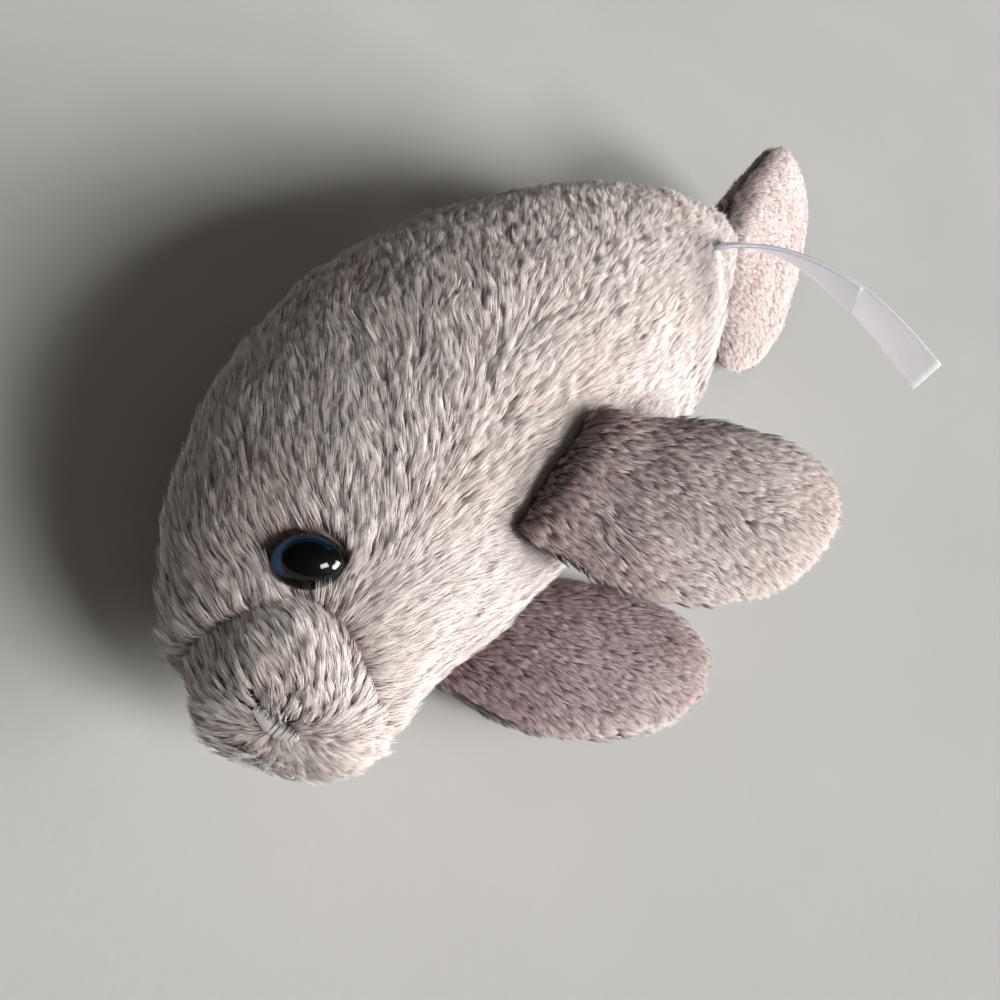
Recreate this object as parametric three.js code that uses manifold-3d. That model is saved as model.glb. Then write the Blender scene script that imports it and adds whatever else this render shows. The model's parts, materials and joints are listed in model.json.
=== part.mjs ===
// A small plush manatee that lies on its right side.
// X runs towards the head, Y towards the belly and Z up, through the toy's left side. Sizes are in mm.
// The body is four sewn cloth panels round one filling. Flippers and tail are two panels each
// round a filling of their own, sewn on along their roots. The eyes are held by washers.

import * as THREE from "three";
import { mergeVertices } from "three/addons/utils/BufferGeometryUtils.js";
import Module from "manifold-3d";

const wasm = await Module();
wasm.setup();

// Body
const bodyLength = 150.5; // along the back's curve, from nose to tail seam
const noseDip = 0.35; // angle by which the nose points towards the belly
const bodyBend = 0.73; // angle through which the body curves
const bodySections = [
  // reach of the back, reach of the belly, half width, at even steps from nose to tail seam
  [0, 0, 0],
  [11.4, 16.0, 11.0],
  [23.1, 20.2, 19.8],
  [30.8, 27.5, 26.8],
  [32.7, 31.2, 29.6],
  [27.7, 31.1, 26.8],
  [20.6, 25.1, 20.5],
  [15.6, 13.0, 12.6],
  [8.5, 5.0, 6.0],
];
const clothThickness = 2.2;
const seamGap = 0.3; // between cloth edges that a seam joins
const fillingGap = 0.9; // between cloth and filling
const thinnestFilling = 0.4; // half the thickness at which a flipper's filling ends
const restingFlat = 0.5; // depth by which the lowest places are pressed flat
const tableSide = 400; // of the block that presses them flat
const tableDepth = 100;

// Muzzle
const muzzleSeam = [0.14, 0.15, 0.177, 0.212, 0.185, 0.155, 0.145]; // place of its seam, belly to back
const muzzlePlump = [1.6, 2.2, 2.8, 2.8, 2.4, 1.3, 0.9]; // belly to back
const noseShare = 0; // share of that swelling at the very tip of the nose
const creaseDepth = [0.3, 0.6, 1.2, 1.5, 1.2, 0.5, 0.2]; // belly to back
const creaseSpread = 0.045; // share of the length over which the crease fades

// Belly seam: its angle from the belly's middle, at even steps from muzzle to tail seam
const bellySeam = [36, 42, 50, 61, 67, 72, 76];

// Eyes
const eyePlace = 0.246;
const eyeAngle = 103;
const eyeLength = 10.4; // the eyes are ovals
const eyeHeight = 8;
const eyeLongWay = [-0.53, 0.76, 0.38]; // of the left eye, mirrored for the right one
const lensHeight = 2.8;
const lensEdge = 0.5;
const eyeBackThickness = 0.9;
const shankDiameter = 3.6;
const shankLength = 7.5;
const shankBevel = 0.5;
const shankClearance = 0.4;
const washerDiameter = 12;
const washerThickness = 1;
const washerDepth = 1.2; // how far the curve of the cloth keeps the washer below it
const pieceGap = 0.3; // between rigid pieces that touch
const toolReach = 6; // how far the tools that cut cloth and filling stand out of the body

// Nostrils
const nostrilInner = [0.092, 108]; // place and angle of one end
const nostrilOuter = [0.075, 64];
const nostrilHalfWidth = 1.5;
const nostrilHeight = 0.9;
const nostrilEdge = 0.15;
const nostrilBase = 0.05;
const nostrilBend = 0.01; // how far its middle lies towards the nose, as a share of the body's length

// Flippers
const flipperRootFront = 0.378; // places of the root's ends on the belly seam
const flipperRootBack = 0.505;
const leftLength = 44;
const rightLength = 49;
const flipperRootHalf = 12.5;
const leftHalfWidth = 17;
const rightHalfWidth = 19.5;
const flipperShoulder = 0.5; // share of the length over which it widens
const flipperRootRadius = 3.2;
const flipperHalfThickness = 6;
const flipperCloth = 1.8;
const leftSweep = 21; // how far back the tip lies
const rightSweep = 21;
const leftLift = -0.14; // slope of the flipper away from the body's middle plane
const rightLift = 0.17;
const rightRootForward = 5;
const rootGap = 0.4; // running gap at a sewn root

// Tail
const tailLength = 42;
const tailRootHalf = 11;
const tailRise = 3; // how far its root lies above the middle of the seam
const tailHalfWidth = 24.5;
const tailShoulder = 0.42;
const tailRootRadius = 4.2;
const tailHalfThickness = 4.6;
const tailCloth = 1.6;
const tailDirection = [-0.7, 0.47, -0.53];
const tailAcross = [-0.73, -0.42, 0.53];

// Sewn-in label of two leaves
const labelPlace = 0.85;
const labelWidth = 8;
const labelThickness = 0.35;
const labelLong = [[-2.5, 10, 11.5], [1, 26, 14.5], [9, 45, 15.2]]; // reach of its curve from the seam
const labelShortShare = 0.66; // length of the short leaf over that of the long one
const labelTwist = [0, -0.3, -0.65, -1.0, -1.2]; // turn of the ribbon at even steps along it
const leafGap = 0.25;
const labelRootGap = 1.3;

const colours = { plush: 0x9f8e92, flipper: 0x86707a, filling: 0xf0efec, black: 0x0b0b0e, lens: 0xdfe8ee };
const material = (color, roughness, metalness = 0) =>
  new THREE.MeshStandardMaterial({ color, roughness, metalness });
const plush = material(colours.plush, 0.95);
const flipperPlush = material(colours.flipper, 0.95);
const fibre = material(colours.filling, 1);
const blackPlastic = material(colours.black, 0.3);
const clearPlastic = material(colours.lens, 0.05);
const silverThread = material(0xb9b6b4, 0.45);
const satin = material(0xf4f3f2, 0.4);

const mix = (a, b, t) => a + (b - a) * t;
const smooth = (t) => THREE.MathUtils.smoothstep(t, 0, 1);
const radians = THREE.MathUtils.degToRad;
const vec = (x, y, z) => new THREE.Vector3(x, y, z);

// Value of an evenly stepped row of numbers at t from 0 to 1, passed smoothly
function along(row, t) {
  const curve = new THREE.CatmullRomCurve3(row.map((v, i) => vec(i, v, 0)), false, "catmullrom", 0.5);
  return curve.getPoint(THREE.MathUtils.clamp(t, 0, 1)).y;
}

// Spine of the body in the plane between its left and right halves
const sections = new THREE.CatmullRomCurve3(
  bodySections.map((s) => vec(...s)), false, "catmullrom", 0.5);
const spineSteps = 400;
const endTurn = 0.93 * Math.PI; // below a half turn, so that the steps stay long at the tail seam
const lengthAt = (q) => (bodyLength * (1 - Math.cos(endTurn * q))) / (1 - Math.cos(endTurn));
const spine = [vec(0, 0, 0)];
for (let i = 1; i <= spineSteps; i++) {
  const step = lengthAt(i / spineSteps) - lengthAt((i - 1) / spineSteps);
  const turn = noseDip - (bodyBend * lengthAt((i - 0.5) / spineSteps)) / bodyLength;
  spine.push(spine[i - 1].clone().add(vec(-Math.cos(turn) * step, -Math.sin(turn) * step, 0)));
}

function spineAt(q) {
  const f = THREE.MathUtils.clamp(q, 0, 1) * spineSteps;
  const i = Math.min(Math.floor(f), spineSteps - 1);
  const turn = noseDip - (bodyBend * lengthAt(q)) / bodyLength;
  return {
    at: spine[i].clone().lerp(spine[i + 1], f - i),
    forward: vec(Math.cos(turn), Math.sin(turn), 0),
    belly: vec(-Math.sin(turn), Math.cos(turn), 0),
  };
}

// Point of the plain swelling body at place q from nose to tail and angle a from the belly's middle
function plainPoint(q, a) {
  const { at, belly } = spineAt(q);
  const size = sections.getPoint(q);
  const reach = Math.cos(a) > 0 ? size.y : size.x;
  return at.addScaledVector(belly, reach * Math.cos(a)).add(vec(0, 0, size.z * Math.sin(a)));
}

function outward(q, a) {
  if (q < 0.004) return spineAt(0).forward;
  const q0 = Math.max(q - 0.004, 0.001);
  const q1 = Math.min(q + 0.004, 1);
  const lengthwise = plainPoint(q1, a).sub(plainPoint(q0, a));
  const around = plainPoint(q, a + 0.02).sub(plainPoint(q, a - 0.02));
  return lengthwise.cross(around).normalize();
}

const fromBelly = (list, a) => along(list, Math.abs(Math.atan2(Math.sin(a), Math.cos(a))) / Math.PI);
const seamPlace = (a) => fromBelly(muzzleSeam, a);
const bellySeamAngle = (t) => radians(along(bellySeam, t));

// Swelling of the muzzle and the crease behind it
function relief(q, a) {
  const past = (q - seamPlace(a)) / creaseSpread;
  const plump = fromBelly(muzzlePlump, a) * mix(noseShare, 1, smooth(q / 0.1));
  return plump * smooth(-past / 1.5) - fromBelly(creaseDepth, a) * Math.exp(-past * past);
}

// Point of the cloth's outside, moved inwards by depth
function clothPoint(q, a, depth = 0) {
  return plainPoint(q, a).addScaledVector(outward(q, a), relief(q, a) - depth);
}

// One closed body from grids of points, each face listed with its outside to the front
class Surface {
  constructor() {
    this.points = [];
    this.faces = [];
  }
  grid(rows, flip = false) {
    const start = this.points.length;
    const wide = rows[0].length;
    rows.forEach((row) => this.points.push(...row));
    for (let i = 0; i + 1 < rows.length; i++) {
      for (let j = 0; j + 1 < wide; j++) {
        const a = start + i * wide + j;
        const [b, c, d] = [a + 1, a + wide + 1, a + wide];
        this.faces.push(...(flip ? [[a, c, b], [a, d, c]] : [[a, b, c], [a, c, d]]));
      }
    }
  }
  geometry() {
    const loose = new THREE.BufferGeometry();
    loose.setAttribute("position", new THREE.Float32BufferAttribute(
      this.points.flatMap((p) => p.toArray()), 3));
    loose.setIndex(this.faces.flat());
    return tidy(loose);
  }
}

// Six times the volume that the faces enclose, negative where they point inwards
function enclosed(geometry) {
  const position = geometry.getAttribute("position");
  const [a, b, c] = [vec(0, 0, 0), vec(0, 0, 0), vec(0, 0, 0)];
  let sum = 0;
  const index = geometry.getIndex().array;
  for (let i = 0; i < index.length; i += 3) {
    a.fromBufferAttribute(position, index[i]);
    b.fromBufferAttribute(position, index[i + 1]);
    c.fromBufferAttribute(position, index[i + 2]);
    sum += a.dot(b.cross(c));
  }
  return sum;
}

// Merges vertices that coincide, drops faces that this leaves without area and turns the rest outwards
function tidy(geometry, tolerance = 1e-4) {
  geometry.deleteAttribute("normal");
  geometry.deleteAttribute("uv");
  const merged = mergeVertices(geometry, tolerance);
  const index = merged.getIndex().array;
  const kept = [];
  for (let i = 0; i < index.length; i += 3) {
    const [a, b, c] = [index[i], index[i + 1], index[i + 2]];
    if (a !== b && b !== c && c !== a) kept.push(a, b, c);
  }
  merged.setIndex(kept);
  if (enclosed(merged) < 0) merged.setIndex(kept.reverse());
  merged.computeVertexNormals();
  return merged;
}

const asSolid = (geometry) => new wasm.Manifold(new wasm.Mesh({
  numProp: 3,
  vertProperties: new Float32Array(geometry.getAttribute("position").array),
  triVerts: new Uint32Array(geometry.getIndex().array),
}));

function asGeometry(solid) {
  const mesh = solid.getMesh();
  const geometry = new THREE.BufferGeometry();
  geometry.setAttribute("position", new THREE.Float32BufferAttribute(mesh.vertProperties, 3));
  geometry.setIndex(Array.from(mesh.triVerts));
  geometry.computeVertexNormals();
  return geometry;
}

const cut = (geometry, ...tools) =>
  asGeometry(tools.reduce((solid, tool) => solid.subtract(asSolid(tool)), asSolid(geometry)));

// Closed cloth between an outer and an inner grid of points
function clothPanel(outer, inner) {
  const cloth = new Surface();
  const last = outer.length - 1;
  const side = outer[0].length - 1;
  cloth.grid(outer);
  cloth.grid(inner, true);
  cloth.grid([inner[0], outer[0]]);
  cloth.grid([outer[last], inner[last]]);
  cloth.grid([outer.map((row) => row[0]), inner.map((row) => row[0])]);
  cloth.grid([inner.map((row) => row[side]), outer.map((row) => row[side])]);
  return cloth.geometry();
}

const steps = (count) => Array.from({ length: count + 1 }, (_, i) => i / count);

// Body panels
const lengthSteps = 22;
const bellySteps = 8;
const sideSteps = 12;
const seamStart = 0.2;
const gapShare = seamGap / 2 / (0.6 * bodyLength); // half a seam's gap as a step of place

function bodyPanel(fromAngle, toAngle, count) {
  const edge = (t) => {
    const size = sections.getPoint(mix(seamStart, 1, t));
    return seamGap / 2 / Math.max((size.x + size.y + size.z) / 3, 1);
  };
  const grid = (depth) => steps(lengthSteps).map((t) => steps(count).map((s) => {
    const a = mix(fromAngle(t) + edge(t), toAngle(t) - edge(t), s);
    const q = mix(seamPlace(a) + gapShare, 1, t);
    return clothPoint(q, a, depth);
  }));
  return clothPanel(grid(0), grid(clothThickness));
}

const leftSide = bodyPanel(bellySeamAngle, () => Math.PI, sideSteps);
const rightSide = bodyPanel(() => -Math.PI, (t) => -bellySeamAngle(t), sideSteps);
const belly = bodyPanel((t) => -bellySeamAngle(t), bellySeamAngle, bellySteps);

// The muzzle panel closes the nose, and its rim meets the other three at their own points
const rimAngles = [
  ...steps(bellySteps).slice(0, -1).map((s) => mix(-bellySeamAngle(0), bellySeamAngle(0), s)),
  ...steps(sideSteps).slice(0, -1).map((s) => mix(bellySeamAngle(0), Math.PI, s)),
  ...steps(sideSteps).map((s) => mix(Math.PI, 2 * Math.PI - bellySeamAngle(0), s)),
];
const muzzleRings = 7;
const muzzleGrid = (depth) => steps(muzzleRings).map((t) => rimAngles.map((a) =>
  clothPoint(t * (seamPlace(a) - gapShare), a, depth)));
const muzzle = new Surface();
const muzzleOuter = muzzleGrid(0);
const muzzleInner = muzzleGrid(clothThickness);
muzzle.grid(muzzleOuter);
muzzle.grid(muzzleInner, true);
muzzle.grid([muzzleOuter[muzzleRings], muzzleInner[muzzleRings]]);

// Filling of body and muzzle
const fillingRings = 26;
const fillingSides = 28;
const fillingEnd = 0.995;
const filling = new Surface();
const fillingGrid = steps(fillingRings).map((t) => steps(fillingSides).map((s) =>
  clothPoint(t * fillingEnd, s * 2 * Math.PI, clothThickness + fillingGap)));
filling.grid(fillingGrid);
filling.grid([fillingGrid[fillingRings], fillingGrid[fillingRings].map(() => spineAt(fillingEnd).at)]);

// A frame standing on the cloth at place q and angle a, with its Z outwards and its X along a direction
function standingOn(q, a, longWay) {
  const lengthwise = clothPoint(q + 0.03, a).sub(clothPoint(q - 0.03, a));
  const around = clothPoint(q, a + 0.2).sub(clothPoint(q, a - 0.2));
  const frame = new THREE.Group();
  frame.position.copy(clothPoint(q, a));
  const out = lengthwise.cross(around).normalize();
  const long = longWay.projectOnPlane(out).normalize();
  frame.quaternion.setFromRotationMatrix(new THREE.Matrix4().makeBasis(long, out.clone().cross(long), out));
  frame.updateMatrixWorld(true);
  return frame;
}

const turned = (profile, count = 24) => {
  const lathe = new THREE.LatheGeometry(profile.map(([r, z]) => new THREE.Vector2(r, z)), count);
  return tidy(lathe.rotateX(Math.PI / 2));
};

// Eye: clear lens on a black back whose shank passes the cloth into a washer
const eyeRadius = eyeLength / 2;
const backTop = pieceGap + eyeBackThickness;
const lensBase = backTop + pieceGap;
const lensProfile = [[0, lensBase], [eyeRadius, lensBase], ...steps(8).slice(0, -1).map((t) => [
  eyeRadius * Math.cos((t * Math.PI) / 2),
  lensBase + lensEdge + (lensHeight - lensEdge) * Math.sin((t * Math.PI) / 2),
]), [0, lensBase + lensHeight]];
const shankRadius = shankDiameter / 2;
const backProfile = [[0, -shankLength], [shankRadius - shankBevel, -shankLength],
  [shankRadius, shankBevel - shankLength], [shankRadius, pieceGap], [eyeRadius, pieceGap],
  [eyeRadius, backTop], [0, backTop]];
const washerTop = -clothThickness - washerDepth;
const holeRadius = shankRadius + shankClearance;
const washerProfile = [[holeRadius, washerTop - washerThickness], [washerDiameter / 2, washerTop - washerThickness],
  [washerDiameter / 2, washerTop], [holeRadius, washerTop], [holeRadius, washerTop - washerThickness]];
const shaft = (radius, from, to) => turned([[0, from], [radius, from], [radius, to], [0, to]], 20);

// Makes oval what lies further from the middle than a radius
function oval(geometry, from = 0) {
  const position = geometry.getAttribute("position");
  for (let i = 0; i < position.count; i++) {
    const [x, y] = [position.getX(i), position.getY(i)];
    if (Math.hypot(x, y) > from) position.setY(i, (y * eyeHeight) / eyeLength);
  }
  geometry.computeVertexNormals();
  return geometry;
}

const body = new THREE.Group();
const put = (parent, name, geometry, mat) => {
  const mesh = new THREE.Mesh(geometry, mat);
  mesh.name = name;
  parent.add(mesh);
  return mesh;
};

const holes = {};
const pockets = [];
for (const [side, sign] of [["left", 1], ["right", -1]]) {
  const [longX, longY, longZ] = eyeLongWay;
  const seat = standingOn(eyePlace, sign * radians(eyeAngle), vec(longX, longY, sign * longZ));
  put(seat, `${side}_eye_lens`, oval(turned(lensProfile)), clearPlastic);
  put(seat, `${side}_eye_back`, oval(turned(backProfile), shankRadius + pieceGap), blackPlastic);
  put(seat, `${side}_eye_washer`, turned(washerProfile), fibre);
  // The shank's hole, and the flat that the back presses into the cloth
  const pressed = oval(shaft(eyeRadius + pieceGap, 0, toolReach / 2));
  holes[side] = [shaft(holeRadius, -2 * clothThickness, toolReach / 2), pressed]
    .map((tool) => tool.applyMatrix4(seat.matrixWorld));
  const floor = Math.min(washerTop - washerThickness, -shankLength) - fillingGap;
  pockets.push(shaft(washerDiameter / 2 + fillingGap, floor, toolReach).applyMatrix4(seat.matrixWorld));
  body.add(seat);
}

// Nostril: a raised crescent of satin stitches
function nostril(sign) {
  const rows = (height) => steps(10).map((t) => steps(4).map((s) => {
    const q = mix(nostrilInner[0], nostrilOuter[0], t) - nostrilBend * Math.sin(Math.PI * t);
    const a = radians(mix(nostrilInner[1], nostrilOuter[1], t)) * sign;
    const base = clothPoint(q, a, -pieceGap);
    const ahead = clothPoint(q - 0.02, a, -pieceGap).sub(base).normalize();
    const half = nostrilHalfWidth * Math.sqrt(Math.sin(Math.PI * mix(0.03, 0.97, t)));
    const across = 2 * s - 1;
    return base.addScaledVector(ahead, half * across)
      .addScaledVector(outward(q, a), height(across, t));
  }));
  const top = (x, t) => nostrilEdge +
    nostrilHeight * Math.sqrt(Math.max(1 - x * x, 0) * Math.sin(Math.PI * mix(0.1, 0.9, t)));
  const outer = rows(top);
  const inner = rows(() => nostrilBase);
  return sign > 0 ? clothPanel(inner, outer) : clothPanel(outer, inner);
}

// Flippers and tail: two panels round a filling, flat where their seam joins them
const paddleRings = 14;
const paddleRows = 12;
function paddle({ length, rootHalf, halfWidth, shoulder, rootRadius, halfThickness, cloth, sweep, roundRoot }) {
  const tipStart = 0.52 * length;
  const tip = (s, power) => {
    const past = Math.max(0, (s - tipStart) / (length - tipStart));
    return Math.pow(Math.max(1 - Math.pow(past, power), 0), 1 / power);
  };
  const half = (s) => {
    const full = mix(rootHalf, halfWidth, smooth(s / (shoulder * length))) * tip(s, 2.3);
    const round = roundRoot ? Math.sqrt(Math.max(1 - Math.pow(Math.max(1 - s / rootHalf, 0), 2), 0)) : 1;
    return full * round;
  };
  const thick = (s) => {
    const root = s < rootRadius ? Math.sqrt(Math.max(s * (2 * rootRadius - s), 0)) : rootRadius;
    return mix(root, halfThickness, smooth((s - rootRadius) / (0.35 * length))) * tip(s, 2);
  };
  const middle = (s) => sweep * Math.pow(s / length, 1.15);
  const rise = (s, w) => thick(s) * Math.sqrt(Math.max(1 - w * w, 0));
  const grid = (height) => steps(paddleRings).map((a) => {
    const s = mix(0, length, (1 - Math.cos(Math.PI * a)) / 2);
    return steps(paddleRows).map((b) => {
      const w = -Math.cos(Math.PI * b);
      return vec(middle(s) + w * half(s), s - rootRadius, height(s, w));
    });
  });
  const split = seamGap / 2;
  const upper = clothPanel(
    grid((s, w) => split + rise(s, w)),
    grid((s, w) => split + Math.max(0, rise(s, w) - cloth)));
  const lower = clothPanel(
    grid((s, w) => -split - Math.max(0, rise(s, w) - cloth)),
    grid((s, w) => -split - rise(s, w)));
  // The filling stays inside the cloth by the filling's gap
  const spare = cloth + fillingGap / 2;
  const filled = (t) => thick(t * length) > spare + thinnestFilling;
  const first = steps(200).find(filled) * length;
  const last = steps(200).reverse().find(filled) * length;
  const core = (sign) => steps(paddleRows).map((a) => {
    const s = mix(first, last, (1 - Math.cos(Math.PI * a)) / 2);
    const reach = Math.sqrt(1 - Math.pow(spare / thick(s), 2));
    return steps(10).map((b) => {
      const w = -Math.cos(Math.PI * b) * reach;
      return vec(middle(s) + w * half(s), s - rootRadius, sign * Math.max(rise(s, w) - spare, 0));
    });
  });
  return { upper, lower, filling: clothPanel(core(1), core(-1)) };
}

// A frame whose X runs along a root, Y along the piece and Z square to both
function rootFrame(at, x, y) {
  const ex = x.clone().normalize();
  const ey = y.clone().projectOnPlane(ex).normalize();
  const frame = new THREE.Group();
  frame.quaternion.setFromRotationMatrix(new THREE.Matrix4().makeBasis(ex, ey, ex.clone().cross(ey)));
  frame.position.copy(at);
  frame.updateMatrixWorld(true);
  return frame;
}

const seamShare = (q) => (q - seamStart) / (1 - seamStart);
function flipperFrame(sign, lift, forward) {
  const shift = forward / bodyLength;
  const front = flipperRootFront - shift;
  const back = flipperRootBack - shift;
  const mid = (front + back) / 2;
  const onSeam = (q) => clothPoint(q, sign * bellySeamAngle(seamShare(q)));
  const rootLine = onSeam(back).sub(onSeam(front));
  const middleAngle = sign * bellySeamAngle(seamShare(mid));
  const at = onSeam(mid).addScaledVector(outward(mid, middleAngle), flipperRootRadius + rootGap);
  return rootFrame(at, rootLine, vec(0, 1, lift));
}

const lowest = Math.max(...steps(200).map((t) => -clothPoint(t, -Math.PI / 2).z)) - restingFlat;
const underTable = tidy(new THREE.BoxGeometry(tableSide, tableSide, tableDepth)
  .translate(-bodyLength / 2, 0, -tableDepth / 2 - lowest));
const rested = (geometry, frame) =>
  cut(geometry, underTable.clone().applyMatrix4(frame.matrixWorld.clone().invert()));

const flipperSize = { rootHalf: flipperRootHalf, shoulder: flipperShoulder, rootRadius: flipperRootRadius,
  halfThickness: flipperHalfThickness, cloth: flipperCloth };
for (const [side, sign, length, halfWidth, sweep, lift, forward] of [
  ["left", 1, leftLength, leftHalfWidth, leftSweep, leftLift, 0],
  ["right", -1, rightLength, rightHalfWidth, rightSweep, rightLift, rightRootForward]]) {
  const frame = flipperFrame(sign, lift, forward);
  const pieces = paddle({ ...flipperSize, length, halfWidth, sweep });
  put(frame, `${side}_flipper_lower_panel`, rested(pieces.upper, frame), flipperPlush);
  put(frame, `${side}_flipper_upper_panel`, rested(pieces.lower, frame), flipperPlush);
  put(frame, `${side}_flipper_filling`, pieces.filling, fibre);
  body.add(frame);
}

// Tail, hanging from its seam towards the table
const tailSeat = spineAt(1);
const tail = paddle({ length: tailLength, rootHalf: tailRootHalf, halfWidth: tailHalfWidth, shoulder: tailShoulder,
  rootRadius: tailRootRadius, halfThickness: tailHalfThickness, cloth: tailCloth, sweep: 0, roundRoot: true });
// Its root meets the flat end of the body with the root's running gap
const tailTurn = rootFrame(vec(0, 0, 0), vec(...tailAcross), vec(...tailDirection));
const tailPoints = tail.upper.getAttribute("position");
const ahead = steps(tailPoints.count - 1).map((_, i) =>
  vec(0, 0, 0).fromBufferAttribute(tailPoints, i).applyMatrix4(tailTurn.matrixWorld).dot(tailSeat.forward));
const tailAt = tailSeat.at.clone().addScaledVector(tailSeat.forward, -(Math.max(...ahead) + rootGap))
  .addScaledVector(vec(...tailAcross).projectOnPlane(tailSeat.forward).normalize(), tailRise);
const tailFrame = rootFrame(tailAt, vec(...tailAcross), vec(...tailDirection));
put(tailFrame, "tail_upper_panel", rested(tail.upper, tailFrame), plush);
put(tailFrame, "tail_lower_panel", rested(tail.lower, tailFrame), plush);
put(tailFrame, "tail_filling", tail.filling, fibre);
body.add(tailFrame);

// Label: two leaves of ribbon on one curve, the short one under the long one
const labelAngle = bellySeamAngle(seamShare(labelPlace));
const labelOut = outward(labelPlace, labelAngle);
const labelRoot = clothPoint(labelPlace, labelAngle, -labelRootGap);
const labelSeam = clothPoint(labelPlace - 0.02, labelAngle).sub(clothPoint(labelPlace + 0.02, labelAngle));
const labelCurve = new THREE.CubicBezierCurve3(
  labelRoot, ...labelLong.map(([x, y, z]) => labelRoot.clone().add(vec(x, y, z))));
function leaf(share, offset) {
  const rows = (height) => steps(16).map((t) => [-1, 1].map((w) => {
    const at = labelCurve.getPoint(t * share);
    const ahead = labelCurve.getTangent(t * share);
    const across = labelSeam.clone().projectOnPlane(ahead).normalize();
    across.applyAxisAngle(ahead, along(labelTwist, t * share));
    const up = across.clone().cross(ahead);
    return at.addScaledVector(across, (w * labelWidth) / 2).addScaledVector(up, offset + height);
  }));
  return clothPanel(rows(labelThickness / 2), rows(-labelThickness / 2));
}
const label = new THREE.Group();
put(label, "label_long_leaf", leaf(1, 0), satin);
put(label, "label_short_leaf", leaf(labelShortShare, -labelThickness - leafGap), satin);
body.add(label);

put(body, "left_side_panel", cut(leftSide, ...holes.left), plush);
put(body, "right_side_panel", cut(rightSide, ...holes.right, underTable), plush);
put(body, "belly_panel", cut(belly, underTable), plush);
put(body, "muzzle_panel", cut(muzzle.geometry(), holes.left[1], holes.right[1], underTable), plush);
put(body, "body_filling", cut(filling.geometry(), ...pockets), fibre);
put(body, "left_nostril", nostril(1), silverThread);
put(body, "right_nostril", nostril(-1), silverThread);

// The toy stands on z = 0 with the middle of its box over the origin
const manatee = new THREE.Group();
manatee.add(body);
body.updateMatrixWorld(true);
const box = new THREE.Box3().setFromObject(body, true);
body.position.set(-(box.min.x + box.max.x) / 2, -(box.min.y + box.max.y) / 2, -box.min.z);

export default manatee;
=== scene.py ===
import json
import math

import bmesh
import bpy
import numpy as np
from mathutils import Matrix, Vector, noise
from mathutils.kdtree import KDTree


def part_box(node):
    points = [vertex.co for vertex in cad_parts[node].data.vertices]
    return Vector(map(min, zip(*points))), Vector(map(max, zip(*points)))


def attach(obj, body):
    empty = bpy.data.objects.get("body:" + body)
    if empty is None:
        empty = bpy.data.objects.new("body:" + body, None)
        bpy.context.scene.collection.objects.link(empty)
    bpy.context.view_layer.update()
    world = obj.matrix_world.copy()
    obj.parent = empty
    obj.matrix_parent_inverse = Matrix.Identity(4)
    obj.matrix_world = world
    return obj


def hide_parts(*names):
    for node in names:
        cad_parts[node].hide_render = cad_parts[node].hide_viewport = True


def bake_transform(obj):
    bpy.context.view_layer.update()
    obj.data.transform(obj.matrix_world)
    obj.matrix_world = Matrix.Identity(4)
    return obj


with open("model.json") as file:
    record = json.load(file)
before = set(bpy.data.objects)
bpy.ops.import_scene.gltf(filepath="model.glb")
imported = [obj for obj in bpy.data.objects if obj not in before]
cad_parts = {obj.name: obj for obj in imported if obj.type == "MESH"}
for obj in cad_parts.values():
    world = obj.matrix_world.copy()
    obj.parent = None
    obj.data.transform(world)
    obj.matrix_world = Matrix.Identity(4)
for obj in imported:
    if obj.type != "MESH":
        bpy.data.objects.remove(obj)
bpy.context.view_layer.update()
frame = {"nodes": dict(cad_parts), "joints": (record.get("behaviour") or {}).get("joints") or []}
MM = 0.001

# The plush toy manatee lies on its right side: X runs to its nose, Y to its belly and Z up.
# Lengths below are in mm unless a name says otherwise, and colours are sRGB hex values.

# Camera, fitted to the photograph
camera_place = (167.4, 2.7, 208.8)
camera_right = (-0.5314, 0.7559, 0.3825)
camera_back = (0.5999, 0.017, 0.7999)
camera_lens = 46.8  # on a 36 mm wide sensor

# Low light from windows on the belly's side, two panes and a lower one: the angle round Z from X and
# above the table in degrees, and the width, height and power in watts of each
window_distance = 12000
windows = [
    (73, 41, 2400, 3720, 608),
    (87, 41, 2400, 3720, 608),
    (113, 18, 6000, 3720, 1792),
]
room_light = (0.06, 0.22)  # of the walls away from the windows, and of those beside them
room_side = (0.0, 0.9, 0.45)  # towards the walls beside them

# Pile of the plush
strands_per_mm2 = 24.0
tufts_per_mm2 = 1.4
strand_half_width = 0.05
root_depth = 0.25  # of the strands' roots in the cloth
bend_angles = (46, 12)  # of a strand's stretches above the cloth, root to tip, in degrees
gather = (0.0, 0.2, 0.5)  # how far the strands of a tuft draw together, root to tip
ruffle = 7  # size of the patches in which the pile leans alike
ruffle_sway, ruffle_lift = 0.6, 0.5  # a patch's lean sideways in radians, and its share more or less of lift
roundness = 0.7  # how far the strands at a tuft's edge turn to face outwards
pressed_height = (0.05, 0.35)  # least and most, where the table presses the pile flat
worn_pale = "#f3e8e2"  # painted light: the pale of the flippers' and tail's pile tips, where light catches them

# Lengths of the pile
body_length = 4.2
muzzle_length = 3.8
flipper_length = 3.0
tail_length = 2.4
table_side_density = 0.45  # of the strands on the body's side by the table
turned_away_density = 0.5  # of those on the panels of flippers and tail that the camera doesn't see

rng = np.random.default_rng(11)
noise.seed_set(11)


# Materials

def linear(colour):
    """A colour written as sRGB hex, as the linear values that a shader takes."""
    parts = [int(colour[i:i + 2], 16) / 255 for i in (1, 3, 5)]
    return tuple(c / 12.92 if c <= 0.04045 else ((c + 0.055) / 1.055) ** 2.4 for c in parts) + (1.0,)


def add(tree, kind, inputs=None, **settings):
    """Adds a node with its settings, its input values and the links to its inputs."""
    node = tree.nodes.new(kind)
    for key, value in settings.items():
        setattr(node, key, value)
    for socket, value in (inputs or {}).items():
        if isinstance(value, bpy.types.NodeSocket):
            tree.links.new(value, node.inputs[socket])
        else:
            node.inputs[socket].default_value = value
    return node


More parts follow.
